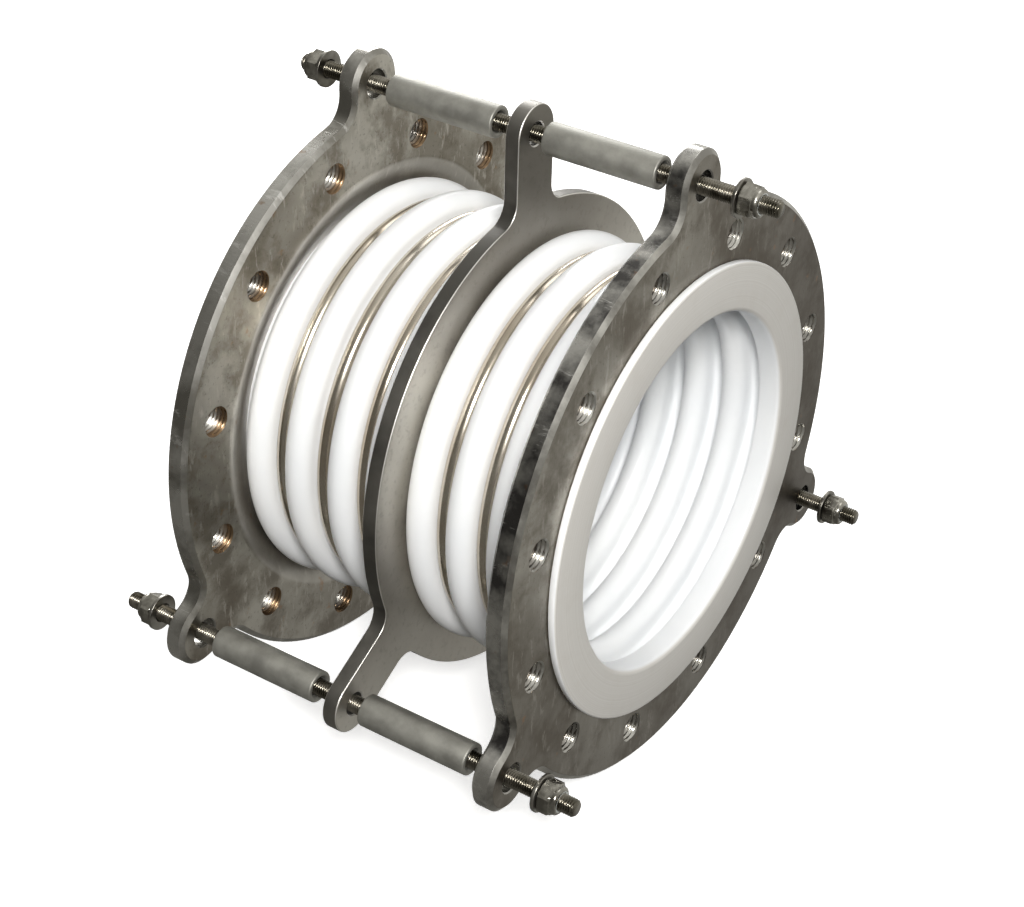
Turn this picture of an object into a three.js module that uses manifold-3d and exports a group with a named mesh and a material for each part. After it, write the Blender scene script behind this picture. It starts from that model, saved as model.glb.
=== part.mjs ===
// PTFE bellows expansion joint, DN 250, with PN 16 ring flanges and three limit rods.
// Millimetres. +X runs along the pipe, +Z is up through the top rod, the origin is on the
// axis half way between the two flanges.
import * as THREE from 'three';
import { mergeVertices } from 'three/addons/utils/BufferGeometryUtils.js';
import Module from 'manifold-3d';

const wasm = await Module();
wasm.setup();

// ---------------------------------------------------------------- driving dimensions

const gap = 0.3; // clearance kept between pieces that touch
const roundSteps = 30; // facets round every large ring

const rod = {
  circle: 223, // radius of the circle that the rods stand on
  angles: [90, -30, -150], // degrees from +Y towards +Z
  names: ['top', 'right', 'left'],
  radius: 6,
  tip: 1.5,
  nearEnds: [187, 178.5, 182.5],
  farEnds: [-178.5, -187.5, -183],
};

const flange = {
  innerFace: 117.5,
  thickness: 16,
  rim: 205,
  chamferAxial: 3,
  chamferRadial: 3.5,
  bore: 129,
  dishMouth: 161,
  dishWaist: 136,
  dishDepth: 10,
  dishBoreDepth: 13,
  boltCircle: 355 / 2,
  boltHole: 10.6,
  boltCount: 12,
  ear: 23.5,
  earFillet: 17,
  rodHole: 10,
};
flange.outerFace = flange.innerFace + flange.thickness;

const bellows = {
  crests: [-111, -78, -42.7, -12.2, 21.4, 52.4, 83.8, 114.5], // where they stand along the axis
  wall: 3.5,
  crestBend: 9.7, // outside radius of the bend at a crest
  crest: 146.5, // radius of the crests
  root: 126, // outside radius at the roots
  neck: 128.4, // outside radius inside the flange
  flare: 159.5,
  flareFace: 139,
  flareEdge: 1.2,
  mouthRound: 4,
};
bellows.crestCentre = bellows.crest - bellows.crestBend;
// the seven grooves between the crests: middle and outside radius of the bend at the root
bellows.grooves = bellows.crests.slice(1).map((crest, index) => ({
  x: (bellows.crests[index] + crest) / 2,
  bend: (crest - bellows.crests[index]) / 2 - bellows.crestBend,
}));

const rootRing = { bar: 5.2, circle: 132.5 };

const centreRing = {
  groove: 3, // the groove it stands in, counted from 0
  thickness: 11,
  rim: 169.5,
  bore: 127.2,
  boreLand: 2, // half width of the bore's narrowest band
  boreTaper: 4.2, // how far the bore opens at both faces
  ear: 20,
  earFillet: 15,
  edge: 1,
  rodHole: 8,
};

const sleeve = { outer: 11, bore: 7.5, length: 84, nearCentre: 62, farCentre: -60.6, edge: 1 };

const washer = { outer: 12.8, bore: 6.5, thickness: 2.5 };

const nut = {
  acrossFlats: 20.5,
  hexHeight: 9.2,
  height: 13,
  collar: 9.5,
  collarTop: 8.7,
  cornerChamfer: 1.2,
  bore: 6.3,
  pocket: 7.5,
  pocketDepth: 2.6,
};

const insert = { outer: nut.pocket - gap, height: nut.pocketDepth - gap };

// room between each flange's outer face and the washer outside it
const washerGap = { near: [25, 18.5, 22], far: [24, 29.5, 22] };

// ---------------------------------------------------------------- materials

const material = (color, roughness, metalness) =>
  new THREE.MeshStandardMaterial({ color, roughness, metalness });

const flangeSteel = material('#8b857b', 0.45, 0.85);
const plateSteel = material('#98938a', 0.5, 0.8);
const polishedSteel = material('#b3a58d', 0.2, 1);
const rodSteel = material('#a3a099', 0.35, 0.95);
const sleeveSteel = material('#767367', 0.6, 0.6);
const nutSteel = material('#a8a69f', 0.25, 1);
const washerSteel = material('#9c9a93', 0.4, 0.95);
const fluoropolymer = material('#f1f3f2', 0.35, 0);
const nylon = material('#d9dcd6', 0.5, 0);

// ---------------------------------------------------------------- helpers

const radians = THREE.MathUtils.degToRad;

// turns a shape drawn in the Y-Z plane and extruded along its own z to run along +X
const alongX = new THREE.Matrix4().makeBasis(
  new THREE.Vector3(0, 1, 0),
  new THREE.Vector3(0, 0, 1),
  new THREE.Vector3(1, 0, 0),
);

// turns a lathe's own y axis to +X
const latheToX = new THREE.Matrix4().makeBasis(
  new THREE.Vector3(0, 1, 0),
  new THREE.Vector3(1, 0, 0),
  new THREE.Vector3(0, 0, -1),
);

function toSolid(geometry) {
  const bare = geometry.clone();
  bare.deleteAttribute('normal');
  bare.deleteAttribute('uv');
  const merged = mergeVertices(bare, 1e-4);
  return new wasm.Manifold(
    new wasm.Mesh({
      numProp: 3,
      vertProperties: merged.attributes.position.array,
      triVerts: new Uint32Array(merged.index.array),
    }),
  );
}

function toGeometry(solid) {
  const mesh = solid.getMesh();
  const geometry = new THREE.BufferGeometry();
  geometry.setAttribute('position', new THREE.BufferAttribute(mesh.vertProperties, 3));
  geometry.setIndex(new THREE.BufferAttribute(mesh.triVerts, 1));
  geometry.computeVertexNormals();
  return geometry;
}

// a body of revolution about the X axis; the profile's points are [x, radius]
function turned(profile, steps = roundSteps) {
  const points = profile.map(([x, radius]) => new THREE.Vector2(radius, x));
  return new THREE.LatheGeometry(points, steps).applyMatrix4(latheToX);
}

// a ring or tube: its section is a closed loop that clears the axis
const turnedRing = (section, steps) => turned([...section, section[0]], steps);

const drill = (radius, from, to, steps) =>
  toSolid(turned([[from, 0], [from, radius], [to, radius], [to, 0]], steps));

const onCircle = (radius, degrees) => [
  radius * Math.cos(radians(degrees)),
  radius * Math.sin(radians(degrees)),
];

function arc(centreX, centreY, radius, start, end, steps) {
  const points = [];
  for (let step = 0; step <= steps; step += 1) {
    const angle = start + ((end - start) * step) / steps;
    points.push([centreX + radius * Math.cos(angle), centreY + radius * Math.sin(angle)]);
  }
  return points;
}

// round rim with an ear at every rod: fillet, straight flank, round end, flank, fillet
function earedOutline({ rim, ear, earFillet }) {
  const filletY = ear + earFillet;
  const filletX = Math.sqrt((rim + earFillet) ** 2 - filletY ** 2);
  const lean = Math.atan2(filletY, filletX);
  const third = (2 * Math.PI) / 3;
  const points = [];
  for (const degrees of [-150, -30, 90]) {
    const turn = radians(degrees);
    const place = (x, y) => [
      x * Math.cos(turn) - y * Math.sin(turn),
      x * Math.sin(turn) + y * Math.cos(turn),
    ];
    const half = Math.PI / 2;
    points.push(
      ...arc(...place(filletX, -filletY), earFillet, turn + Math.PI - lean, turn + half, 4),
      ...arc(...place(rod.circle, 0), ear, turn - half, turn + half, 8),
      ...arc(...place(filletX, filletY), earFillet, turn - half, turn - Math.PI + lean, 4),
      ...arc(0, 0, rim, turn + lean, turn + third - lean, 13).slice(1, -1),
    );
  }
  return new THREE.Shape(points.map(([y, z]) => new THREE.Vector2(y, z)));
}

// plate of that outline between x = from and x = to, both edges chamfered
function earedPlate(outline, from, to, chamferAxial, chamferRadial) {
  const geometry = new THREE.ExtrudeGeometry(earedOutline(outline), {
    depth: to - from - 2 * chamferAxial,
    bevelThickness: chamferAxial,
    bevelSize: chamferRadial,
    bevelOffset: -chamferRadial,
    bevelSegments: 1,
    curveSegments: 1,
  });
  geometry.translate(0, 0, from + chamferAxial);
  return toSolid(geometry.applyMatrix4(alongX));
}

function mesh(name, geometry, surface) {
  const part = new THREE.Mesh(geometry, surface);
  part.name = name;
  return part;
}

// ---------------------------------------------------------------- flanges

function flangeGeometry() {
  const { innerFace, outerFace, chamferAxial, chamferRadial } = flange;
  const over = 1; // how far each cutter runs past the faces
  const slope = (flange.dishMouth - flange.dishWaist) / flange.dishDepth;
  let solid = earedPlate(flange, innerFace, outerFace, chamferAxial, chamferRadial);
  const bore = turned([
    [innerFace - over, 0],
    [innerFace - over, flange.dishMouth + slope * over],
    [innerFace + flange.dishDepth, flange.dishWaist],
    [innerFace + flange.dishBoreDepth, flange.bore],
    [outerFace + over, flange.bore],
    [outerFace + over, 0],
  ]);
  solid = solid.subtract(toSolid(bore));
  const boltHole = drill(flange.boltHole, innerFace - over, outerFace + over, 12);
  for (let hole = 0; hole < flange.boltCount; hole += 1) {
    const place = onCircle(flange.boltCircle, (360 * (hole + 0.5)) / flange.boltCount);
    solid = solid.subtract(boltHole.translate([0, ...place]));
  }
  const rodHole = drill(flange.rodHole, innerFace - over, outerFace + over, 14);
  for (const degrees of rod.angles) {
    solid = solid.subtract(rodHole.translate([0, ...onCircle(rod.circle, degrees)]));
  }
  return toGeometry(solid);
}

function flanges() {
  const geometry = flangeGeometry();
  const near = mesh('near_flange', geometry, flangeSteel);
  const far = mesh('far_flange', geometry, flangeSteel);
  far.rotation.z = Math.PI;
  return [near, far];
}

// ---------------------------------------------------------------- bellows

// one side of the convoluted wall towards +X; depth is how far it lies inside the outer surface
function convolutedSide(depth, crestSteps, rootSteps) {
  const { crests, grooves, crestBend, crestCentre, root } = bellows;
  const points = [];
  crests.forEach((x, index) => {
    points.push(...arc(x, crestCentre, crestBend - depth, Math.PI, 0, crestSteps));
    if (index < grooves.length) {
      const { x: middle, bend } = grooves[index];
      points.push(...arc(middle, root + bend, bend + depth, Math.PI, 2 * Math.PI, rootSteps));
    }
  });
  return points;
}

// flared end at +X, outer surface first: neck, flare's back, rim, face, mouth, inner neck
function flaredEnd(lastCrest) {
  const { neck, wall, flare, flareFace, flareEdge, mouthRound, crestBend } = bellows;
  const lastWall = lastCrest + crestBend;
  const back = flange.outerFace + gap;
  const inner = neck - wall;
  return [
    [lastWall, neck + 1],
    [lastWall + 1, neck],
    [back, neck],
    [back, flare],
    [flareFace - flareEdge, flare],
    [flareFace, flare - flareEdge],
    [flareFace, inner + mouthRound],
    ...arc(flareFace - mouthRound, inner + mouthRound, mouthRound, 0, -Math.PI / 2, 3).slice(1),
    [lastWall, inner],
    [lastWall - wall, inner + wall],
  ];
}

function bellowsMesh() {
  const outer = convolutedSide(0, 4, 4);
  const inner = convolutedSide(bellows.wall, 2, 3);
  const nearEnd = flaredEnd(bellows.crests.at(-1));
  const farEnd = flaredEnd(-bellows.crests[0]).map(([x, radius]) => [-x, radius]);
  const section = [...outer, ...nearEnd, ...inner.reverse(), ...farEnd.reverse()];
  return mesh('bellows', turnedRing(section), fluoropolymer);
}

// ---------------------------------------------------------------- rings

function rootRings() {
  const section = arc(0, rootRing.circle, rootRing.bar, 0, -2 * Math.PI, 6).slice(0, -1);
  const geometry = turnedRing(section);
  const grooves = bellows.grooves.filter((groove, index) => index !== centreRing.groove);
  return grooves.map(({ x }, index) => {
    const ring = mesh(`root_ring_${index + 1}`, geometry, polishedSteel);
    ring.position.x = x;
    return ring;
  });
}

function centreRingMesh() {
  const { bore, boreLand, boreTaper, edge } = centreRing;
  const half = centreRing.thickness / 2;
  const cutter = turned([
    [-half - 1, 0],
    [-half - 1, bore + boreTaper],
    [-half, bore + boreTaper],
    [-boreLand, bore],
    [boreLand, bore],
    [half, bore + boreTaper],
    [half + 1, bore + boreTaper],
    [half + 1, 0],
  ]);
  let solid = earedPlate(centreRing, -half, half, edge, edge).subtract(toSolid(cutter));
  const rodHole = drill(centreRing.rodHole, -half - 1, half + 1, 14);
  for (const degrees of rod.angles) {
    solid = solid.subtract(rodHole.translate([0, ...onCircle(rod.circle, degrees)]));
  }
  const plate = mesh('centre_ring', toGeometry(solid), plateSteel);
  plate.position.x = bellows.grooves[centreRing.groove].x;
  return plate;
}

// ---------------------------------------------------------------- limit rods

const washerGeometry = turnedRing([
  [0, washer.bore],
  [0, washer.outer],
  [washer.thickness, washer.outer],
  [washer.thickness, washer.bore],
], 16);

const sleeveGeometry = turnedRing([
  [-sleeve.length / 2, sleeve.bore],
  [-sleeve.length / 2, sleeve.outer - sleeve.edge],
  [-sleeve.length / 2 + sleeve.edge, sleeve.outer],
  [sleeve.length / 2 - sleeve.edge, sleeve.outer],
  [sleeve.length / 2, sleeve.outer - sleeve.edge],
  [sleeve.length / 2, sleeve.bore],
], 16);

// hexagon with chamfered corners under a round collar that holds the nylon insert
function nutGeometry() {
  const { acrossFlats, hexHeight, height, collar, collarTop, cornerChamfer, bore } = nut;
  const corner = acrossFlats / 2 / Math.cos(Math.PI / 6);
  const hexagon = arc(0, 0, corner, 0, 2 * Math.PI, 6).slice(0, -1);
  const outline = new THREE.Shape(hexagon.map(([y, z]) => new THREE.Vector2(y, z)));
  const prism = new THREE.ExtrudeGeometry(outline, { depth: hexHeight, bevelEnabled: false });
  const chamfer = toSolid(turned([
    [0, 0],
    [0, acrossFlats / 2],
    [cornerChamfer, corner],
    [hexHeight - cornerChamfer, corner],
    [hexHeight, acrossFlats / 2],
    [hexHeight, 0],
  ], 12));
  const top = toSolid(turned([
    [hexHeight - 1, 0],
    [hexHeight - 1, collar],
    [height - 1, collar],
    [height, collarTop],
    [height, 0],
  ], 12));
  return toGeometry(
    toSolid(prism.applyMatrix4(alongX))
      .intersect(chamfer)
      .add(top)
      .subtract(drill(bore, -1, height + 1, 12))
      .subtract(drill(nut.pocket, height - nut.pocketDepth, height + 1, 12)),
  );
}

const hexNut = nutGeometry();

const insertGeometry = turnedRing([
  [0, nut.bore],
  [0, insert.outer],
  [insert.height, insert.outer],
  [insert.height, nut.bore],
], 12);

function rodGeometry(farEnd, nearEnd) {
  return turned([
    [farEnd, 0],
    [farEnd, rod.radius - rod.tip],
    [farEnd + rod.tip, rod.radius],
    [nearEnd - rod.tip, rod.radius],
    [nearEnd, rod.radius - rod.tip],
    [nearEnd, 0],
  ], 16);
}

// washer, nut and insert outside one flange, built towards +X
function endStack(label, washerFace) {
  const stack = new THREE.Group();
  const ring = mesh(`${label}_washer`, washerGeometry, washerSteel);
  const lock = mesh(`${label}_nut`, hexNut, nutSteel);
  const nylonRing = mesh(`${label}_nut_insert`, insertGeometry, nylon);
  ring.position.x = washerFace;
  lock.position.x = washerFace + washer.thickness + gap;
  nylonRing.position.x = lock.position.x + nut.height - insert.height;
  stack.add(ring, lock, nylonRing);
  return stack;
}

function limitRod(index) {
  const name = rod.names[index];
  const group = new THREE.Group();
  const bar = mesh(`${name}_rod`, rodGeometry(rod.farEnds[index], rod.nearEnds[index]), rodSteel);
  const nearStack = endStack(`${name}_near`, flange.outerFace + washerGap.near[index]);
  const farStack = endStack(`${name}_far`, flange.outerFace + washerGap.far[index]);
  farStack.rotation.z = Math.PI;
  const nearSleeve = mesh(`${name}_near_sleeve`, sleeveGeometry, sleeveSteel);
  const farSleeve = mesh(`${name}_far_sleeve`, sleeveGeometry, sleeveSteel);
  nearSleeve.position.x = sleeve.nearCentre;
  farSleeve.position.x = sleeve.farCentre;
  group.add(bar, nearStack, farStack, nearSleeve, farSleeve);
  const [y, z] = onCircle(rod.circle, rod.angles[index]);
  group.position.set(0, y, z);
  return group;
}

// ---------------------------------------------------------------- the joint

const joint = new THREE.Group();
joint.add(...flanges(), bellowsMesh(), ...rootRings(), centreRingMesh());
joint.add(...rod.angles.map((degrees, index) => limitRod(index)));

export default joint;
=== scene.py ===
"""PTFE bellows expansion joint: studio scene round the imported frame. Metres, +X along the pipe."""

import math

import bmesh
import bpy
import numpy as np
from mathutils import Matrix, Vector


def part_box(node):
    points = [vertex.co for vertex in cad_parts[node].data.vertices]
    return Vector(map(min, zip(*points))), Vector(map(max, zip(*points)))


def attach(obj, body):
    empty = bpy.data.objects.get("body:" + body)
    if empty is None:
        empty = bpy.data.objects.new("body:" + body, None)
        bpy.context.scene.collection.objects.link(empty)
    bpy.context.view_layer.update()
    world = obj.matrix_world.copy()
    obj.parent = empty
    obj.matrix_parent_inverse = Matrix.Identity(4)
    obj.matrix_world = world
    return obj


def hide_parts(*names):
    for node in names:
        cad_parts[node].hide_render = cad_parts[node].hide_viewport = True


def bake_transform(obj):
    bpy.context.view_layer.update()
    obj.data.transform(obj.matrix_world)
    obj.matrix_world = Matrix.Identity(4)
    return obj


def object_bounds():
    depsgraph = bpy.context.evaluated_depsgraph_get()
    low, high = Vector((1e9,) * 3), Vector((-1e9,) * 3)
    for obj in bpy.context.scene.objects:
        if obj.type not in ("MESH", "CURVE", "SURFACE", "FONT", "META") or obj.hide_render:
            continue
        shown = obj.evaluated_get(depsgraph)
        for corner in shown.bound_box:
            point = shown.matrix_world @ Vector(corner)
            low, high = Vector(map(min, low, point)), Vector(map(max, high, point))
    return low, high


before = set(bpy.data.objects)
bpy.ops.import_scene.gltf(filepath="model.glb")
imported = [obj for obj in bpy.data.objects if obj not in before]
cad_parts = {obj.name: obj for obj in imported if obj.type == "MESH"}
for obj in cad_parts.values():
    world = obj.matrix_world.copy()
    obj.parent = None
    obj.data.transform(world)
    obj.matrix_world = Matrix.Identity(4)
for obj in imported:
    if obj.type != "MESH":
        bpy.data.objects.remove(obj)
cad_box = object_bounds()

# ------------------------------------------------------------------ sizes, in metres

ROD_ANGLES = (-150, -30, 90)  # degrees from +Y towards +Z
ROD_NAMES = ("left", "right", "top")

INNER_FACE, OUTER_FACE = (corner[0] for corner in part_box("near_flange"))  # x of its two faces
ROD_CIRCLE = (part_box("top_rod")[0][2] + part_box("top_rod")[1][2]) / 2
FLARE_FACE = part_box("bellows")[1][0]
PLATE_FACES = [corner[0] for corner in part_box("centre_ring")]
ROOT_RING_COUNT = 6

FLANGE = {
    "rim": 0.205, "ear": 0.0235, "fillet": 0.017, "bore": 0.129, "bore_lead": 0.001,
    "dish_mouth": 0.161, "dish_waist": 0.136, "dish_depth": 0.010, "dish_end": 0.013,
    "chamfer_in": 0.0035, "chamfer_deep": 0.003, "chamfer_soft": 0.0003,
    "bolt_circle": 0.1775, "bolt_count": 12, "rod_hole": 0.010,
}
BOLT_THREAD = {"major": 0.0113, "minor": 0.0101, "pitch": 0.003, "steps": 40}

PLATE = {
    "rim": 0.1695, "ear": 0.020, "fillet": 0.015, "bore": 0.1272, "bore_open": 0.0042,
    "bore_land": 0.002, "rod_hole": 0.008, "edge": 0.0011,
}

BELLOWS = {
    "crests": (-0.111, -0.078, -0.0427, -0.0122, 0.0214, 0.0524, 0.0838, 0.1145),
    "wall": 0.0035, "crest_bend": 0.0097, "crest": 0.1465, "root": 0.126, "neck": 0.1284,
    "flare": 0.1595, "flare_round": 0.0016, "mouth_round": 0.004, "flange_gap": 0.0003,
    "neck_ease": 0.0022, "soft": 0.0006,
}

ROOT_RING = {"bar": 0.0052, "circle": 0.1325}
ROD_THREAD = {"major": 0.00595, "minor": 0.0049, "pitch": 0.00175, "tip": 0.0044, "steps": 28}
SLEEVE = {"bore": 0.0075, "soft": 0.0013}
WASHER = {"bore": 0.0065, "outer": 0.0128, "soft": 0.0005}
INSERT = {"bore": 0.0061, "outer": 0.0072, "soft": 0.0004}
NUT = {
    "flats": 0.0205, "hex": 0.0092, "collar": 0.0095, "collar_round": 0.0024, "bore": 0.0061,
    "pocket": 0.0074, "pocket_depth": 0.0026, "corner_drop": 0.0011, "soft": 0.0006,
    "face_in": 0.0003, "face_out": 0.0004, "step": 0.0002,
}

CUT_OVER = 0.001  # how far a cutter passes the faces it cuts
HOLE_LEAD = 0.0008  # softened mouth of a rod hole
HOLE_STEPS = 48  # steps round each kind of piece
TUBE_STEPS = 64
NUT_STEPS = 96
RING_STEPS = 180
BELLOWS_STEPS = 192
RINGS_PER_PITCH = 6
FLANK_SLOPE = 2.7  # steepness of a thread's flanks
SHARP_ANGLE = 32  # degrees; steeper edges are shaded sharp

# ------------------------------------------------------------------ where the finishes change

NEAR_SIDE = (-0.05, 0.05)  # x: far flange below, near flange above
HALF_DEPTH = (0.122, 0.128)  # distance in x: a flange's inner half below, its outer half above
DISH_EDGE = (0.158, 0.160)  # radius: dish below, flat face above
HOLE_EDGE = (0.190, 0.192)  # radius: walls of the tapped holes below, rim above
FACE_NORMAL = (0.5, 0.85)  # share of a normal along x: rim below, flat face above
BEVEL_NORMAL, BEVEL_SPAN = 0.62, (0.12, 0.32)  # the same share on a bevel, and how far it spreads

# ------------------------------------------------------------------ camera and studio

CAMERA_PLACE = Vector((0.7007, -1.0509, 0.7945))
CAMERA_TARGET = Vector((0.0394, 0.0447, 0.0299))
CAMERA_ROLL = math.radians(2.97)
CAMERA_LENS = 75.97
CAMERA_SENSOR = 36
CAMERA_SHIFT = (-0.0861, -0.0719)  # the picture is an off-centre crop

WORLD_BRIGHT_SIDE = (0.2, 0.75, 0.55)
WORLD_SPAN = (-0.45, 0.7)  # the surroundings turn from dim to bright between these
WORLD_DIM = (0.17, 0.165, 0.15, 1)
WORLD_BRIGHT = (0.70, 0.69, 0.65, 1)
WORLD_SEEN = (0.80, 0.80, 0.80, 1)  # the backdrop above the floor's far edge
WORLD_FILL = 0.25  # share of the surroundings that lights dull surfaces

LIGHTS = (  # name, place, diameter, watts, colour
    ("key", (1.04, -1.40, 1.38), 0.5, 54, (1.0, 0.99, 0.97)),
    ("top", (0.3, 0.9, 2.0), 1.2, 6, (1, 1, 1)),
    ("back", (-1.3, 1.45, 0.9), 1.2, 30, (1, 1, 1)),
)

FLOOR_HALF = 20
FLOOR_GREY = (0.88, 0.88, 0.88, 1)
FLOOR_GLOW = 0.6


def aimed(place, target):
    """A matrix that stands at place and looks at target, with Z up."""
    turn = (target - place).to_track_quat("-Z", "Y").to_matrix().to_4x4()
    return Matrix.Translation(place) @ turn


def add_camera():
    data = bpy.data.cameras.new("camera")
    data.lens = CAMERA_LENS
    data.sensor_width = CAMERA_SENSOR
    data.shift_x, data.shift_y = CAMERA_SHIFT
    data.clip_end = 50
    camera = bpy.data.objects.new("camera", data)
    bpy.context.scene.collection.objects.link(camera)
    camera.matrix_world = aimed(CAMERA_PLACE, CAMERA_TARGET) @ Matrix.Rotation(CAMERA_ROLL, 4, "Z")
    bpy.context.scene.camera = camera


def add_light(name, place, size, power, colour):
    """A round area light aimed at the middle of the object."""
    data = bpy.data.lights.new(name, "AREA")
    data.shape = "DISK"
    data.size = size
    data.energy = power
    data.color = colour
    light = bpy.data.objects.new(name, data)
    bpy.context.scene.collection.objects.link(light)
    light.matrix_world = aimed(Vector(place), Vector((0, 0, 0)))


def add_world():
    """Soft surroundings, bright above and behind the object and dim below and in front.

    Reflections see all of it; dull surfaces get a share, and the camera sees plain grey.
    """
    world = bpy.data.worlds.new("studio")
    world.use_nodes = True
    tree = world.node_tree
    background = tree.nodes["Background"]
    direction = tree.nodes.new("ShaderNodeTexCoord").outputs["Generated"]
    towards = tree.nodes.new("ShaderNodeVectorMath")
    towards.operation = "DOT_PRODUCT"
    towards.inputs[1].default_value = WORLD_BRIGHT_SIDE
    tree.links.new(direction, towards.inputs[0])
    ramp = tree.nodes.new("ShaderNodeMapRange")
    ramp.interpolation_type = "SMOOTHSTEP"
    ramp.inputs["From Min"].default_value, ramp.inputs["From Max"].default_value = WORLD_SPAN
    tree.links.new(towards.outputs["Value"], ramp.inputs["Value"])
    colour = tree.nodes.new("ShaderNodeMix")
    colour.data_type = "RGBA"
    colour.inputs[6].default_value = WORLD_DIM
    colour.inputs[7].default_value = WORLD_BRIGHT
    tree.links.new(ramp.outputs["Result"], colour.inputs[0])
    seen = tree.nodes.new("ShaderNodeMix")
    seen.data_type = "RGBA"
    seen.inputs[7].default_value = WORLD_SEEN
    ray = tree.nodes.new("ShaderNodeLightPath")
    tree.links.new(ray.outputs["Is Camera Ray"], seen.inputs[0])
    tree.links.new(colour.outputs[2], seen.inputs[6])
    tree.links.new(seen.outputs[2], background.inputs["Color"])
    strength = tree.nodes.new("ShaderNodeMapRange")
    strength.inputs["To Min"].default_value = 1
    strength.inputs["To Max"].default_value = WORLD_FILL
    tree.links.new(ray.outputs["Is Diffuse Ray"], strength.inputs["Value"])
    tree.links.new(strength.outputs["Result"], background.inputs["Strength"])
    bpy.context.scene.world = world


def add_studio():
    bpy.context.scene.view_settings.view_transform = "Standard"
    add_world()
    for light in LIGHTS:
        add_light(*light)


def add_floor():
    half = FLOOR_HALF
    level = cad_box[0][2]
    corners = [(-half, -half, level), (half, -half, level), (half, half, level), (-half, half, level)]
    mesh = bpy.data.meshes.new("floor")
    mesh.from_pydata(corners, [], [(0, 1, 2, 3)])
    floor = bpy.data.objects.new("floor", mesh)
    bpy.context.scene.collection.objects.link(floor)
    floor.visible_glossy = False
    floor.visible_diffuse = False
    material = bpy.data.materials.new("floor_pale")
    material.use_nodes = True
    shader = material.node_tree.nodes["Principled BSDF"]
    shader.inputs["Base Color"].default_value = FLOOR_GREY
    shader.inputs["Roughness"].default_value = 0.9
    shader.inputs["Emission Color"].default_value = (1, 1, 1, 1)
    shader.inputs["Emission Strength"].default_value = FLOOR_GLOW
    mesh.materials.append(material)


# ------------------------------------------------------------------ material nodes


class Shader:
    """A material under construction: small helpers over its node tree."""

    def __init__(self, name):
        self.material = bpy.data.materials.new(name)
        self.material.use_nodes = True
        self.tree = self.material.node_tree
        self.bsdf = self.tree.nodes["Principled BSDF"]
        self.coords = self.tree.nodes.new("ShaderNodeTexCoord").outputs["Object"]
        self.normal = None

    def node(self, kind, settings=None, **inputs):
        """First output of a new node; inputs go by name, or by number as i0, i1 and so on."""
        node = self.tree.nodes.new("ShaderNode" + kind)
        for key, value in (settings or {}).items():
            setattr(node, key, value)
        for key, value in inputs.items():
            socket = node.inputs[int(key[1:]) if key[1:].isdigit() else key.replace("_", " ")]
            if isinstance(value, bpy.types.NodeSocket):
                self.tree.links.new(value, socket)
            else:
                socket.default_value = value
        return node.outputs[0]

    def math(self, operation, first, second=0.0, third=0.0):
        return self.node("Math", {"operation": operation}, i0=first, i1=second, i2=third)

    def noise(self, scale, detail=4.0, roughness=0.55, stretch=(1, 1, 1), distortion=0.0,
              coords=None):
        vector = self.node("Mapping", Vector=coords or self.coords, Scale=stretch)
        return self.node(
            "TexNoise", Vector=vector, Scale=scale, Detail=detail,
            Roughness=roughness, Distortion=distortion,
        )

    def remap(self, value, low, high, to_low=0.0, to_high=1.0):
        return self.node("MapRange", i0=value, i1=low, i2=high, i3=to_low, i4=to_high)

    def mix(self, factor, first, second):
        node = self.tree.nodes.new("ShaderNodeMix")
        node.data_type = "RGBA"
        for index, value in ((0, factor), (6, first), (7, second)):  # the colour sockets
            socket = node.inputs[index]
            if isinstance(value, bpy.types.NodeSocket):
                self.tree.links.new(value, socket)
            elif isinstance(value, (int, float)):
                socket.default_value = value
            else:
                socket.default_value = (*value, 1)
        return node.outputs[2]

    def split(self, vector):
        """The X, Y and Z outputs of a vector."""
        parts = self.tree.nodes.new("ShaderNodeSeparateXYZ")
        self.tree.links.new(vector, parts.inputs[0])
        return parts.outputs["X"], parts.outputs["Y"], parts.outputs["Z"]

    def axis_radius(self):
        """Distance from the pipe axis."""
        _, y, z = self.split(self.coords)
        return self.math("SQRT", self.math("MULTIPLY_ADD", y, y, self.math("MULTIPLY", z, z)))

    def along_x(self):
        return self.split(self.coords)[0]

    def near_share(self):
        """0 on the far flange, 1 on the near one."""
        return self.remap(self.along_x(), *NEAR_SIDE)

    def height_share(self, low, high):
        """0 below z = low, rising to 1 above z = high."""
        return self.remap(self.split(self.coords)[2], low, high)

    def normal_x(self):
        """How squarely the surface faces along the pipe: 1 on flat faces, 0 on the rims."""
        geometry = self.tree.nodes.new("ShaderNodeNewGeometry")
        return self.math("ABSOLUTE", self.split(geometry.outputs["Normal"])[0])

    def facing_x(self):
        return self.remap(self.normal_x(), *FACE_NORMAL)

    def edge_wear_and_highlight(self):
        """1 on bevelled edges between a flat face and the rim, 0 on both of those; edge wear and a
        painted highlight go there.
        """
        off_bevel = self.math("ABSOLUTE", self.math("SUBTRACT", self.normal_x(), BEVEL_NORMAL))
        return self.remap(off_bevel, *BEVEL_SPAN, 1, 0)

    def bump(self, height, strength, distance):
        """Adds a layer of relief on top of the layers so far."""
        inputs = {"Strength": strength, "Distance": distance, "Height": height}
        if self.normal is not None:
            inputs["Normal"] = self.normal
        self.normal = self.node("Bump", **inputs)
        self.tree.links.new(self.normal, self.bsdf.inputs["Normal"])

    def set(self, **values):
        for key, value in values.items():
            socket = self.bsdf.inputs[key.replace("_", " ")]
            if isinstance(value, bpy.types.NodeSocket):
                self.tree.links.new(value, socket)
            else:
                socket.default_value = (*value, 1) if isinstance(value, tuple) else value


# ------------------------------------------------------------------ materials


def concentric(shader, density):
    """Fine turning marks: noise that varies with the distance from the axis only."""
    vector = shader.node("CombineXYZ", X=shader.axis_radius(), Y=0.0, Z=0.0)
    return shader.noise(density, detail=3, coords=vector)


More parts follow.
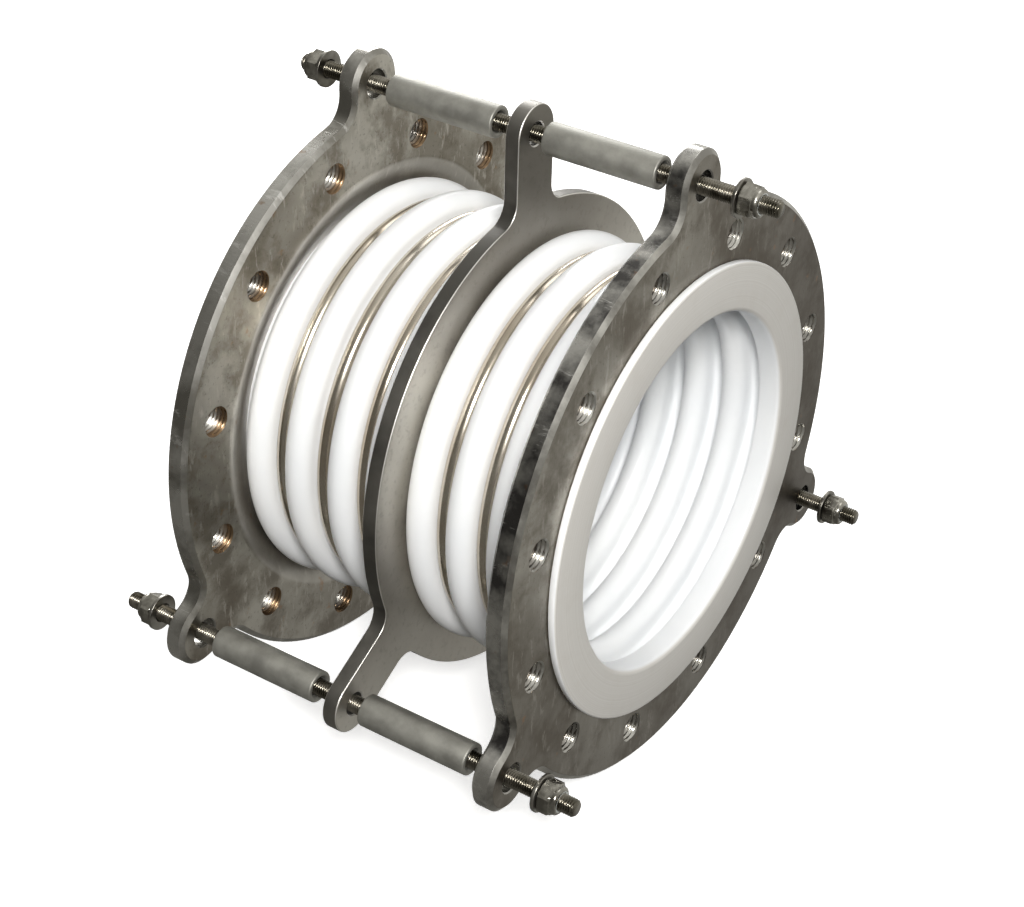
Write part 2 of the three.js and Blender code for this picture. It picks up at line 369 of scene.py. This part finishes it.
def flange_steel():
    """Mottled faces with painted shade on the near flange and low down, and a painted reflection in
    the dish; dark patchy rims with painted highlight streaks, the near one painted darker as shade;
    chamfers paler from wear and a painted highlight; tapped holes painted dark and warm as shade and
    reflection.
    """
    s = Shader("flange_steel")
    _, y, z = s.split(s.coords)
    radius = s.axis_radius()
    facing = s.facing_x()
    clouds = s.noise(7, detail=5, roughness=0.6, distortion=0.6)
    blotches = s.noise(26, detail=6, roughness=0.65)
    specks = s.noise(420, detail=2)
    scratches = s.noise(34, detail=6, roughness=0.7, stretch=(1, 5, 1.4), distortion=0.4)
    patches = s.noise(20, detail=6, roughness=0.6)

    # flat faces: clouds, dark blotches, pale scratches and pits
    grey, pale, blotch = (0.26, 0.24, 0.20), (0.53, 0.51, 0.455), (0.15, 0.125, 0.09)
    scratch, pit = (0.68, 0.65, 0.59), (0.08, 0.07, 0.06)
    face = s.mix(s.remap(clouds, 0.38, 0.60), grey, pale)
    face = s.mix(s.remap(blotches, 0.46, 0.60, 0, 0.65), face, blotch)
    face = s.mix(s.remap(scratches, 0.56, 0.66, 0, 0.55), face, scratch)
    face = s.mix(s.remap(specks, 0.62, 0.7, 0, 0.35), face, pit)
    # the near flange is painted darker as shade, most towards +Y; the dish is painted paler as a
    # reflection; both flanges are painted darker downwards as shade
    dark_tone, dish_reflection, low_shade = (0.075, 0.063, 0.05), (0.66, 0.64, 0.60), (0.09, 0.08, 0.07)
    near_shade = s.math("MULTIPLY", s.near_share(), s.remap(y, -0.02, 0.15, 0.4, 0.85))
    face = s.mix(near_shade, face, dark_tone)
    face = s.mix(s.remap(radius, *DISH_EDGE, 0.5, 0), face, dish_reflection)
    face = s.mix(s.remap(z, -0.2, 0.03, 0.45, 0), face, low_shade)

    # rims: patches of dark scale and bare steel with bright streaks painted as highlights, the near
    # rim painted darker as shade; nearer the axis, the walls of the tapped holes, painted dark as
    # shade and, on the far flange, warm as a painted reflection
    far_scale, near_scale_shaded = (0.27, 0.26, 0.235), (0.085, 0.082, 0.08)
    far_hole_shade_and_reflection, near_hole_shade = (0.22, 0.15, 0.09), (0.15, 0.125, 0.10)
    bare, rim_glint, rust = (0.56, 0.55, 0.52), (0.80, 0.79, 0.77), (0.30, 0.16, 0.075)
    rim = s.mix(s.remap(patches, 0.42, 0.58), s.mix(s.near_share(), far_scale, near_scale_shaded), bare)
    rim = s.mix(s.remap(scratches, 0.58, 0.64, 0, 0.7), rim, rim_glint)
    rim = s.mix(s.remap(radius, *HOLE_EDGE), s.mix(s.near_share(), far_hole_shade_and_reflection, near_hole_shade), rim)
    base = s.mix(facing, rim, face)
    base = s.mix(s.remap(s.noise(90, detail=4), 0.66, 0.74, 0, 0.5), base, rust)

    # chamfers: paler from wear and a painted highlight, on the outward sides only
    chamfer_wear_and_highlight = s.mix(s.remap(blotches, 0.42, 0.6), (0.30, 0.29, 0.27), (0.66, 0.65, 0.61))
    outward = s.remap(s.math("ABSOLUTE", s.along_x()), *HALF_DEPTH)
    base = s.mix(s.edge_wear_and_highlight(), base, s.mix(outward, rim, chamfer_wear_and_highlight))

    roughness = s.remap(facing, 0, 1, 0.24, 0.36)
    s.set(Base_Color=base, Metallic=1.0)
    s.set(Roughness=s.math("ADD", roughness, s.remap(blotches, 0.35, 0.65, -0.05, 0.1)))
    s.bump(s.noise(60, detail=3, stretch=(1, 14, 1)), 0.06, 0.001)
    s.bump(patches, 0.12, 0.002)
    s.bump(s.noise(900, detail=2), 0.05, 0.0005)
    return s.material


def plate_steel():
    """Matte cut plate: painted shade low down, a dark stain on the top stem, dark rim, bright edges
    from wear and a painted highlight.
    """
    s = Shader("plate_steel")
    clouds = s.noise(9, detail=5, roughness=0.6)
    fine = s.noise(240, detail=3)
    grey, pale, speck = (0.44, 0.415, 0.375), (0.62, 0.60, 0.55), (0.26, 0.24, 0.21)
    low_shade, dark_tone, wear_and_highlight = (0.14, 0.13, 0.11), (0.12, 0.11, 0.09), (0.82, 0.80, 0.76)
    base = s.mix(s.remap(clouds, 0.35, 0.65), grey, pale)
    base = s.mix(s.remap(fine, 0.55, 0.7, 0, 0.3), base, speck)
    # painted shade low down; a dark stain on the top stem
    base = s.mix(s.height_share(-0.19, 0.0), s.mix(0.25, base, low_shade), base)
    base = s.mix(s.height_share(0.10, 0.19), base, s.mix(0.75, base, dark_tone))
    rim = s.mix(s.remap(clouds, 0.4, 0.6), (0.12, 0.115, 0.105), (0.24, 0.23, 0.21))
    base = s.mix(s.facing_x(), rim, base)
    # bright edges: wear and a painted highlight
    base = s.mix(s.edge_wear_and_highlight(), base, wear_and_highlight)
    s.set(Base_Color=base, Metallic=1.0, Roughness=s.remap(clouds, 0.35, 0.65, 0.38, 0.5))
    s.bump(s.noise(700, detail=2), 0.08, 0.0005)
    s.bump(s.noise(45, detail=3, stretch=(1, 1, 12)), 0.05, 0.001)
    return s.material


def polished_steel():
    s = Shader("polished_steel")
    tint = s.noise(14, detail=3)
    base = s.mix(s.remap(tint, 0.35, 0.65), (0.52, 0.45, 0.36), (0.66, 0.61, 0.53))
    s.set(Base_Color=base, Metallic=1.0, Roughness=s.remap(tint, 0.35, 0.65, 0.16, 0.26))
    s.bump(s.noise(500, detail=2, stretch=(6, 1, 1)), 0.04, 0.0003)
    return s.material


def rod_steel():
    s = Shader("rod_steel")
    patches = s.noise(60, detail=4)
    base = s.mix(s.remap(patches, 0.4, 0.62), (0.13, 0.12, 0.095), (0.30, 0.28, 0.24))
    s.set(Base_Color=base, Metallic=1.0, Roughness=s.remap(patches, 0.4, 0.62, 0.22, 0.36))
    s.bump(s.noise(1200, detail=2), 0.06, 0.0003)
    return s.material


def sleeve_steel():
    s = Shader("sleeve_steel")
    mottle = s.noise(70, detail=5, roughness=0.65)
    streaks = s.noise(40, detail=4, stretch=(0.15, 1, 1))
    base = s.mix(s.remap(mottle, 0.35, 0.65), (0.27, 0.265, 0.24), (0.37, 0.365, 0.33))
    base = s.mix(s.remap(streaks, 0.55, 0.7, 0, 0.35), base, (0.11, 0.105, 0.09))
    s.set(Base_Color=base, Metallic=0.75, Roughness=s.remap(mottle, 0.35, 0.65, 0.5, 0.62))
    s.bump(mottle, 0.1, 0.0005)
    return s.material


def nut_steel():
    s = Shader("nut_steel")
    smudge = s.noise(90, detail=3)
    base = s.mix(s.remap(smudge, 0.4, 0.65), (0.21, 0.20, 0.175), (0.47, 0.455, 0.41))
    s.set(Base_Color=base, Metallic=1.0, Roughness=s.remap(smudge, 0.4, 0.65, 0.18, 0.3))
    s.bump(s.noise(400, detail=2), 0.04, 0.0004)
    return s.material


def washer_steel():
    s = Shader("washer_steel")
    smudge = s.noise(80, detail=4)
    base = s.mix(s.remap(smudge, 0.38, 0.65), (0.18, 0.17, 0.15), (0.34, 0.33, 0.30))
    s.set(Base_Color=base, Metallic=1.0, Roughness=s.remap(smudge, 0.38, 0.65, 0.28, 0.42))
    s.bump(s.noise(600, detail=2), 0.06, 0.0004)
    return s.material


def nylon():
    s = Shader("nylon")
    tone = s.noise(150, detail=3)
    base = s.mix(s.remap(tone, 0.4, 0.65), (0.5, 0.52, 0.5), (0.62, 0.64, 0.62))
    s.set(Base_Color=base, Roughness=s.remap(tone, 0.4, 0.65, 0.4, 0.55))
    s.bump(tone, 0.05, 0.0004)
    return s.material


def fluoropolymer():
    """White PTFE; the machined faces of the flares are painted darker as shade, with turning marks.
    """
    s = Shader("fluoropolymer")
    tone = s.noise(12, detail=4)
    smear = s.noise(55, detail=5, roughness=0.65)
    marks = concentric(s, 900)
    base = s.mix(s.remap(tone, 0.35, 0.65), (0.87, 0.885, 0.90), (0.92, 0.93, 0.935))
    outside = s.math("GREATER_THAN", s.math("ABSOLUTE", s.along_x()), OUTER_FACE)
    on_flare = s.math("MULTIPLY", outside, s.facing_x())
    # the flare faces are painted darker as shade, with turning marks and smears
    flare_shade = s.mix(s.remap(marks, 0.35, 0.65), (0.68, 0.66, 0.62), (0.75, 0.735, 0.70))
    flare_shade = s.mix(s.remap(smear, 0.5, 0.75, 0, 0.35), flare_shade, (0.64, 0.61, 0.56))
    base = s.mix(on_flare, base, flare_shade)
    s.set(Base_Color=base, Roughness=s.remap(tone, 0.35, 0.65, 0.3, 0.4), Specular_IOR_Level=0.4)
    s.bump(s.math("MULTIPLY", marks, on_flare), 0.25, 0.0004)
    s.bump(smear, 0.03, 0.001)
    return s.material


# ------------------------------------------------------------------ mesh helpers


def arc(centre_x, centre_y, radius, start, end, steps):
    """Points on a circular arc; angles in degrees."""
    angles = np.radians(np.linspace(start, end, steps + 1))
    return [(centre_x + radius * math.cos(a), centre_y + radius * math.sin(a)) for a in angles]


def finish_mesh(name, bm, material, sharp=SHARP_ANGLE):
    """Turns a bmesh into a smooth-shaded object in the scene."""
    bmesh.ops.remove_doubles(bm, verts=bm.verts, dist=1e-6)
    bmesh.ops.recalc_face_normals(bm, faces=bm.faces)
    mesh = bpy.data.meshes.new(name)
    bm.to_mesh(mesh)
    bm.free()
    mesh.shade_smooth()
    mesh.set_sharp_from_angle(angle=math.radians(sharp))
    mesh.materials.append(material)
    piece = bpy.data.objects.new(name, mesh)
    bpy.context.scene.collection.objects.link(piece)
    return piece


def from_rings(rings, joined=False):
    """A mesh over rings of equal point counts: joined into a torus, or capped at both ends."""
    bm = bmesh.new()
    rows = [[bm.verts.new(point) for point in ring] for ring in rings]
    pairs = list(zip(rows, rows[1:] + rows[:1])) if joined else list(zip(rows, rows[1:]))
    for low, high in pairs:
        for index in range(len(low)):
            after = (index + 1) % len(low)
            bm.faces.new((low[index], low[after], high[after], high[index]))
    if not joined:
        bm.faces.new(rows[0])
        bm.faces.new(rows[-1])
    return bm


def circle_ring(x, radii, steps):
    """One ring round the X axis; radii is a number or one per step."""
    angles = np.arange(steps) * 2 * math.pi / steps
    radii = np.broadcast_to(radii, steps)
    return [(x, r * math.cos(a), r * math.sin(a)) for r, a in zip(radii, angles)]


def revolve(section, steps):
    """Ring-shaped mesh: a closed section of (x, radius) points turned about the X axis."""
    return from_rings([circle_ring(x, r, steps) for x, r in section], joined=True)


def threaded_rings(start, end, thread):
    """Rings of a threaded bar; a thread with a tip radius gets chamfered ends."""
    rings = []
    steps = thread["steps"]
    turns = np.arange(steps) / steps
    count = round((end - start) / thread["pitch"] * RINGS_PER_PITCH)
    depth = thread["major"] - thread["minor"]
    for x in np.linspace(start, end, count + 1):
        phase = np.mod(x / thread["pitch"] - turns, 1)
        height = np.clip(0.5 + (0.25 - np.abs(phase - 0.5)) * FLANK_SLOPE, 0, 1)
        radii = thread["minor"] + depth * height
        if "tip" in thread:
            radii = np.minimum(radii, thread["tip"] + min(x - start, end - x))
        rings.append(circle_ring(x, radii, steps))
    return rings


def outline(shape, inset):
    """Closed outline, in the Y-Z plane, of a round plate with an ear at each rod.

    A fillet arc joins the rim to each side of an ear; its centre is reach out and side across.
    """
    fillet_steps, ear_steps, rim_steps = 14, 28, 60
    rim = shape["rim"] - inset
    ear = shape["ear"] - inset
    fillet = shape["fillet"] + inset
    side = ear + fillet
    reach = math.sqrt((rim + fillet) ** 2 - side**2)
    lean = math.degrees(math.atan2(side, reach))
    points = []
    for turn in ROD_ANGLES:
        cos, sin = math.cos(math.radians(turn)), math.sin(math.radians(turn))
        before = (reach * cos + side * sin, reach * sin - side * cos)
        after = (reach * cos - side * sin, reach * sin + side * cos)
        end = (ROD_CIRCLE * cos, ROD_CIRCLE * sin)
        points += arc(*before, fillet, turn + 180 - lean, turn + 90, fillet_steps)
        points += arc(*end, ear, turn - 90, turn + 90, ear_steps)
        points += arc(*after, fillet, turn - 90, turn - 180 + lean, fillet_steps)
        points += arc(0, 0, rim, turn + lean, turn + 120 - lean, rim_steps)[1:-1]
    return points


def eared_plate(shape, low, high, edge):
    """Closed plate; edge lists (depth below the face, inset) from each face to the rim."""
    levels = [(low + depth, inset) for depth, inset in edge]
    levels += [(high - depth, inset) for depth, inset in reversed(edge)]
    return from_rings([[(x, y, z) for y, z in outline(shape, inset)] for x, inset in levels])


def solid_bar(profile, steps):
    """Closed bar about the X axis through (x, radius) points."""
    return from_rings([circle_ring(x, r, steps) for x, r in profile])


def placed(bm, y, z):
    """Moves a mesh made about the X axis to another line along X."""
    bmesh.ops.translate(bm, verts=bm.verts, vec=(0, y, z))
    return bm


def on_circle(radius, degrees):
    """The (y, z) place at an angle from +Y towards +Z."""
    return radius * math.cos(math.radians(degrees)), radius * math.sin(math.radians(degrees))


def merged(parts):
    """One bmesh of several."""
    whole = bmesh.new()
    for part in parts:
        mesh = bpy.data.meshes.new("part")
        part.to_mesh(mesh)
        part.free()
        whole.from_mesh(mesh)
        bpy.data.meshes.remove(mesh)
    return whole


def cut(piece, cutter_mesh):
    """Subtracts a closed mesh from a piece."""
    cutter = finish_mesh("cutter", cutter_mesh, piece.data.materials[0])  # same look on the cut
    modifier = piece.modifiers.new("cut", "BOOLEAN")
    modifier.operation = "DIFFERENCE"
    modifier.solver = "EXACT"
    modifier.object = cutter
    depsgraph = bpy.context.evaluated_depsgraph_get()
    result = bpy.data.meshes.new_from_object(piece.evaluated_get(depsgraph))
    piece.modifiers.clear()
    old = piece.data
    piece.data = result
    piece.data.name = piece.name
    bpy.data.meshes.remove(old)
    bpy.data.objects.remove(cutter)
    piece.data.shade_smooth()
    piece.data.set_sharp_from_angle(angle=math.radians(SHARP_ANGLE))


def even_shading(piece):
    """Keeps large flat faces flat beside the cuts and bevels."""
    modifier = piece.modifiers.new("shading", "WEIGHTED_NORMAL")
    modifier.keep_sharp = True
    modifier.weight = 100


def belongs(piece, body, slot, *nodes):
    """The body a piece rides on, its material slot (not used), and the CAD nodes it stands for."""
    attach(piece, body)
    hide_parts(*nodes)


# ------------------------------------------------------------------ flanges


def tapped_hole(low, high):
    """Cutter for one threaded through hole."""
    return from_rings(threaded_rings(low - CUT_OVER, high + CUT_OVER, BOLT_THREAD))


def rod_hole(shape, low, high):
    """Cutter for one plain through hole with softened mouths."""
    radius = shape["rod_hole"]
    wide = radius + HOLE_LEAD + CUT_OVER
    return solid_bar([
        (low - CUT_OVER, wide), (low + HOLE_LEAD, radius),
        (high - HOLE_LEAD, radius), (high + CUT_OVER, wide),
    ], HOLE_STEPS)


def flange_cutters():
    """Two cutters for the near flange: its dished bore, and all its holes."""
    f = FLANGE
    low, high = INNER_FACE, OUTER_FACE
    lead = f["bore_lead"]
    width = f["dish_mouth"] - f["dish_waist"]
    slope, hair = 0.004, 0.0001  # the cutter flares out just above the dish's mouth
    profile = [(low - CUT_OVER, f["dish_mouth"] + slope), (low + hair, f["dish_mouth"])]
    for share in np.linspace(0.1, 1, 10):  # the dish steepens towards its waist
        profile.append((low + f["dish_depth"] * share**1.5, f["dish_mouth"] - width * share))
    profile += [(low + f["dish_end"], f["bore"]), (high - lead, f["bore"])]
    profile += [(high + CUT_OVER, f["bore"] + lead + CUT_OVER)]
    bore = solid_bar(profile, RING_STEPS)
    step = 360 / f["bolt_count"]
    holes = []
    for index in range(f["bolt_count"]):
        place = on_circle(f["bolt_circle"], (index + 0.5) * step)
        holes.append(placed(tapped_hole(low, high), *place))
    for turn in ROD_ANGLES:
        holes.append(placed(rod_hole(f, low, high), *on_circle(ROD_CIRCLE, turn)))
    return bore, merged(holes)


def build_flanges(material):
    """The near flange, and the far one as the same mesh turned half round the Z axis."""
    inset, deep, soft = FLANGE["chamfer_in"], FLANGE["chamfer_deep"], FLANGE["chamfer_soft"]
    nudge = soft * 0.4
    edge = [(0, inset + soft), (nudge, inset - nudge), (deep - nudge, nudge), (deep + soft, 0)]
    plate = eared_plate(FLANGE, INNER_FACE, OUTER_FACE, edge)
    near = finish_mesh("near_flange_plate", plate, material)
    for cutter in flange_cutters():
        cut(near, cutter)
    far = bpy.data.objects.new("far_flange_plate", near.data.copy())
    far.data.transform(Matrix.Rotation(math.pi, 4, "Z"))
    bpy.context.scene.collection.objects.link(far)
    even_shading(near)
    even_shading(far)
    belongs(near, "near_end", "flange_steel", "near_flange")
    belongs(far, "far_end", "flange_steel", "far_flange")


# ------------------------------------------------------------------ bellows


def wavy_side(depth, crest_steps, root_steps):
    """One side of the convoluted wall as (x, radius), from the far end.

    depth is how far it lies inside the outer surface.
    """
    b = BELLOWS
    bend = b["crest_bend"]
    centre = b["crest"] - bend
    crests = b["crests"]
    points = arc(crests[0], centre, bend - depth, 180, 0, crest_steps)
    for before, after in zip(crests, crests[1:]):
        root_bend = (after - before) / 2 - bend
        middle = (before + after) / 2
        points += arc(middle, b["root"] + root_bend, root_bend + depth, 180, 360, root_steps)
        points += arc(after, centre, bend - depth, 180, 0, crest_steps)
    return points


def flared_end(last_crest):
    """Section of a flared end at +X: neck, back of the flare, rim, face, mouth and inner neck."""
    b = BELLOWS
    wall_x = last_crest + b["crest_bend"]
    neck, flare, soft, ease = b["neck"], b["flare"], b["soft"], b["neck_ease"]
    inner = neck - b["wall"]
    back = OUTER_FACE + b["flange_gap"]
    edge, mouth = b["flare_round"], b["mouth_round"]
    corner = 0.001  # bend from the neck to the back of the flare
    points = [(wall_x, neck + ease), (wall_x + soft, neck + soft), (wall_x + ease, neck)]
    points += arc(back - corner, neck + corner, corner, 270, 360, 3)
    points += [(back, flare - soft), (back + soft, flare)]
    points += arc(FLARE_FACE - edge, flare - edge, edge, 90, 0, 5)
    points += arc(FLARE_FACE - mouth, inner + mouth, mouth, 0, -90, 10)
    points += [(wall_x, inner), (wall_x - 0.002, inner + soft)]
    return points


def build_bellows(material):
    """The whole bellows as one turned section: outside, near end, inside, far end."""
    outer = wavy_side(0, crest_steps=20, root_steps=14)
    inner = wavy_side(BELLOWS["wall"], crest_steps=10, root_steps=10)
    near = flared_end(BELLOWS["crests"][-1])
    far = [(-x, r) for x, r in flared_end(-BELLOWS["crests"][0])]
    section = outer + near + inner[::-1] + far[::-1]
    piece = finish_mesh("bellows_wall", revolve(section, BELLOWS_STEPS), material, sharp=50)
    blend_by_rings(piece)
    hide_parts("bellows")


def travel_share(x):
    """How much of the near flange's travel a point at x takes: an equal step over each crest."""
    bend, crests = BELLOWS["crest_bend"], BELLOWS["crests"]
    steps = [min(max((x - crest + bend) / (2 * bend), 0), 1) for crest in crests]
    return sum(steps) / len(crests)


def blend_by_rings(piece):
    """Sets each vertex's x from its share of the travel, bakes the object's transform into the mesh,
    then puts every x back, leaving the mesh as it was.
    """
    rest = [vertex.co.x for vertex in piece.data.vertices]
    for vertex, x in zip(piece.data.vertices, rest):
        share = travel_share(x)
        vertex.co.x = 0.5 - math.sin(math.asin(1 - 2 * share) / 3)
    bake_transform(piece)
    for vertex, x in zip(piece.data.vertices, rest):
        vertex.co.x = x
    piece.data.update()


# ------------------------------------------------------------------ rings


def build_root_rings(material):
    """Round bars bent into rings, each in the middle of its CAD node's box."""
    for index in range(1, ROOT_RING_COUNT + 1):
        node = f"root_ring_{index}"
        low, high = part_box(node)
        middle = (low[0] + high[0]) / 2
        section = arc(middle, ROOT_RING["circle"], ROOT_RING["bar"], 0, 360, 24)[:-1]
        ring = finish_mesh(f"{node}_bar", revolve(section, RING_STEPS), material)
        belongs(ring, node, "polished_steel", node)


def build_centre_ring(material):
    """The ring plate between the two halves, with a bore that opens towards both faces."""
    p = PLATE
    low, high = PLATE_FACES
    middle = (low + high) / 2
    edge = p["edge"]
    rounding = [(0, edge), (edge * 0.12, edge * 0.5), (edge * 0.5, edge * 0.12), (edge, 0)]
    plate = finish_mesh("centre_ring_plate", eared_plate(p, low, high, rounding), material)
    land, wide = p["bore_land"], p["bore"] + p["bore_open"]
    bore = solid_bar([
        (low - CUT_OVER, wide + CUT_OVER), (low, wide), (middle - land, p["bore"]),
        (middle + land, p["bore"]), (high, wide), (high + CUT_OVER, wide + CUT_OVER),
    ], RING_STEPS)
    holes = [placed(rod_hole(p, low, high), *on_circle(ROD_CIRCLE, turn)) for turn in ROD_ANGLES]
    cut(plate, bore)
    cut(plate, merged(holes))
    even_shading(plate)
    belongs(plate, "centre_ring", "plate_steel", "centre_ring")


# ------------------------------------------------------------------ limit rods


def centre_line(node):
    """The (y, z) of the line along X through the middle of a CAD node."""
    low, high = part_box(node)
    return (low[1] + high[1]) / 2, (low[2] + high[2]) / 2


def build_rod(name, material):
    node = f"{name}_rod"
    low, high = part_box(node)
    bm = from_rings(threaded_rings(low[0], high[0], ROD_THREAD))
    bar = finish_mesh(f"{node}_threaded", placed(bm, *centre_line(node)), material, sharp=60)
    belongs(bar, f"{name}_limit_rod", "rod_steel", node)


def tube(node, bore, outer, soft, steps=TUBE_STEPS):
    """A tube in a CAD node's place, with rounded outer ends and a softened bore."""
    low, high = (corner[0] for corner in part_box(node))
    lead = min(soft, (outer - bore) * 0.3)
    section = arc(low + soft, outer - soft, soft, 180, 90, 6)
    section += arc(high - soft, outer - soft, soft, 90, 0, 6)
    section += [(high, bore + lead), (high - lead, bore), (low + lead, bore), (low, bore + lead)]
    return placed(revolve(section, steps), *centre_line(node))


def build_sleeve(name, end, material):
    node = f"{name}_{end}_sleeve"
    low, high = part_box(node)
    outer = (high[1] - low[1]) / 2
    sleeve = finish_mesh(f"{node}_tube", tube(node, outer=outer, **SLEEVE), material)
    belongs(sleeve, node, "sleeve_steel", node)


def build_washer(name, end, material):
    node = f"{name}_{end}_washer"
    disc = finish_mesh(f"{node}_disc", tube(node, **WASHER), material)
    belongs(disc, f"{name}_limit_rod", "washer_steel", node)


def build_nut(name, end, material):
    """Hexagon with chamfered corners, rolled collar and bore, as rings of varying radius."""
    node = f"{name}_{end}_nut"
    low, high = (corner[0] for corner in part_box(node))
    seat, outward = (low, 1) if end == "near" else (high, -1)
    height = high - low
    angles = np.arange(NUT_STEPS) * 2 * math.pi / NUT_STEPS
    half = NUT["flats"] / 2
    to_flat = np.mod(angles + math.pi / 6, math.pi / 3) - math.pi / 6
    flats = half / np.cos(to_flat)
    corner = half / math.cos(math.pi / 6)
    soft, drop, inside, outside = NUT["soft"], NUT["corner_drop"], NUT["face_in"], NUT["face_out"]
    hexagon, collar, curve = NUT["hex"], NUT["collar"], NUT["collar_round"]
    bore, pocket, floor = NUT["bore"], NUT["pocket"], height - NUT["pocket_depth"]
    rows = [(0, bore + soft), (0, half - inside), (outside, half + outside), (drop, corner)]
    rows += [(hexagon - drop, corner), (hexagon - inside, half + inside), (hexagon, half - outside)]
    rows += [(hexagon + NUT["step"], collar)]
    rows += arc(height - curve, collar - curve, curve, 90, 15, 6)
    rows += [(height, pocket - outside), (height - soft, pocket), (floor, pocket)]
    rows += [(floor, bore), (soft, bore)]
    rings = [circle_ring(seat + outward * x, np.minimum(r, flats), NUT_STEPS) for x, r in rows]
    bm = placed(from_rings(rings, joined=True), *centre_line(node))
    nut = finish_mesh(f"{node}_hex", bm, material, sharp=25)
    belongs(nut, f"{name}_limit_rod", "nut_steel", node)


def build_insert(name, end, material):
    node = f"{name}_{end}_nut_insert"
    ring = finish_mesh(f"{node}_ring", tube(node, **INSERT, steps=HOLE_STEPS), material)
    belongs(ring, f"{name}_limit_rod", "nylon", node)


def build_limit_rods(rod, sleeve, washer, nut, insert):
    """Three rods with all that is on them; the arguments are the materials."""
    for name in ROD_NAMES:
        build_rod(name, rod)
        for end in ("near", "far"):
            build_sleeve(name, end, sleeve)
            build_washer(name, end, washer)
            build_nut(name, end, nut)
            build_insert(name, end, insert)


# ------------------------------------------------------------------ the scene

add_camera()
add_studio()
add_floor()
build_flanges(flange_steel())
build_bellows(fluoropolymer())
build_root_rings(polished_steel())
build_centre_ring(plate_steel())
build_limit_rods(rod_steel(), sleeve_steel(), washer_steel(), nut_steel(), nylon())
